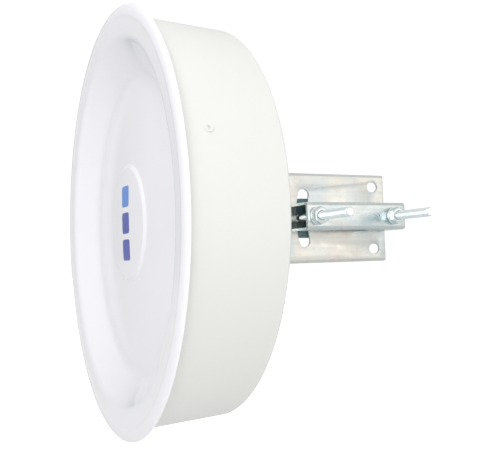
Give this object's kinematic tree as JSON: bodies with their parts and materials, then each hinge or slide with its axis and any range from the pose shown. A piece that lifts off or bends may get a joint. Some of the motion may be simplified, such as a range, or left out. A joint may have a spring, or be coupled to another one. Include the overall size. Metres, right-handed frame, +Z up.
{
  "type": "shrouded parabolic dish antenna",
  "caption": "Shrouded parabolic dish antenna with a concave radome, on a bent steel bracket that clamps to a pole and tilts in an arc slot.",
  "frame": {"origin": "where the pole's side touches the side plate's outer face, midway between the two clamp bolts", "axes": "-Y is the boresight, out of the front of the dish; +Z is up, along the pole; +X points from the side plate towards the nuts"},
  "size_m": [0.439, 0.3295, 0.439],
  "materials": {
    "radome_white": "glossy cool white moulded plastic",
    "shroud_white": "satin warm white moulded plastic",
    "gasket_rubber": "black closed-cell rubber",
    "spun_aluminium": "spun, with fine turning marks",
    "machined_aluminium": "machined",
    "white_ptfe": "turned white plastic",
    "port_nickel": "nickel plate",
    "port_brass": "gold-plated brass",
    "plated_steel": "zinc plated and passivated, faint yellow, pink and blue tints",
    "dark_steel": "dark grey passivated steel",
    "bright_zinc": "bright zinc plate, faint blue tint"
  },
  "bodies": {
    "pole_clamp": {"backing_bar": "dark_steel", "slot_bolt": "bright_zinc", "pivot_bolt": "bright_zinc"},
    "antenna_head": {"radome": "radome_white", "radome_gasket": "gasket_rubber", "shroud": "shroud_white", "shroud_screw_1": "shroud_white", "shroud_screw_2": "shroud_white", "shroud_screw_3": "shroud_white", "reflector": "spun_aluminium", "rim_screw_1": "bright_zinc", "rim_screw_2": "bright_zinc", "rim_screw_3": "bright_zinc", "rim_screw_4": "bright_zinc", "rim_screw_5": "bright_zinc", "rim_screw_6": "bright_zinc", "feed_flange": "machined_aluminium", "feed_tube": "machined_aluminium", "feed_dielectric": "white_ptfe", "sub_reflector": "machined_aluminium", "sub_reflector_screw": "bright_zinc", "transducer_block": "machined_aluminium", "transducer_end_cap": "machined_aluminium", "port_shell_1": "port_nickel", "port_shell_2": "port_nickel", "port_insulator_1": "white_ptfe", "port_insulator_2": "white_ptfe", "port_pin_1": "port_brass", "port_pin_2": "port_brass", "base_plate": "plated_steel", "side_plate": "plated_steel", "hub_bolt_1": "bright_zinc", "hub_bolt_2": "bright_zinc", "hub_bolt_3": "bright_zinc", "hub_bolt_4": "bright_zinc", "hub_washer_1": "bright_zinc", "hub_washer_2": "bright_zinc", "hub_washer_3": "bright_zinc", "hub_washer_4": "bright_zinc", "hub_nut_1": "bright_zinc", "hub_nut_2": "bright_zinc", "hub_nut_3": "bright_zinc", "hub_nut_4": "bright_zinc"},
    "clamp_jaw": {"clamp_channel": "plated_steel", "slot_washer": "bright_zinc", "pivot_washer": "bright_zinc"},
    "slot_nut": {"slot_nut": "bright_zinc"},
    "pivot_nut": {"pivot_nut": "bright_zinc"}
  },
  "joints": [
    {"name": "elevation", "type": "hinge", "parent": "pole_clamp", "child": "antenna_head", "pos_m": [0, 0.051, 0], "axis": [-1, 0, 0], "range_deg": [-13, 13]},
    {"name": "jaw_slide", "type": "slide", "parent": "pole_clamp", "child": "clamp_jaw", "axis": [1, 0, 0], "range_m": [0, 0.045]},
    {"name": "slot_nut_spin", "type": "hinge", "parent": "clamp_jaw", "child": "slot_nut", "pos_m": [0.0414, -0.051, 0], "axis": [1, 0, 0], "range_deg": [0, 10800.5]},
    {"name": "pivot_nut_spin", "type": "hinge", "parent": "clamp_jaw", "child": "pivot_nut", "pos_m": [0.0414, 0.051, 0], "axis": [1, 0, 0], "range_deg": [0, 10800.5]}
  ],
  "couplings": [
    {"joint": "slot_nut_spin", "follows": "jaw_slide", "rad_per_m": 4188.8},
    {"joint": "pivot_nut_spin", "follows": "jaw_slide", "rad_per_m": 4188.8}
  ]
}
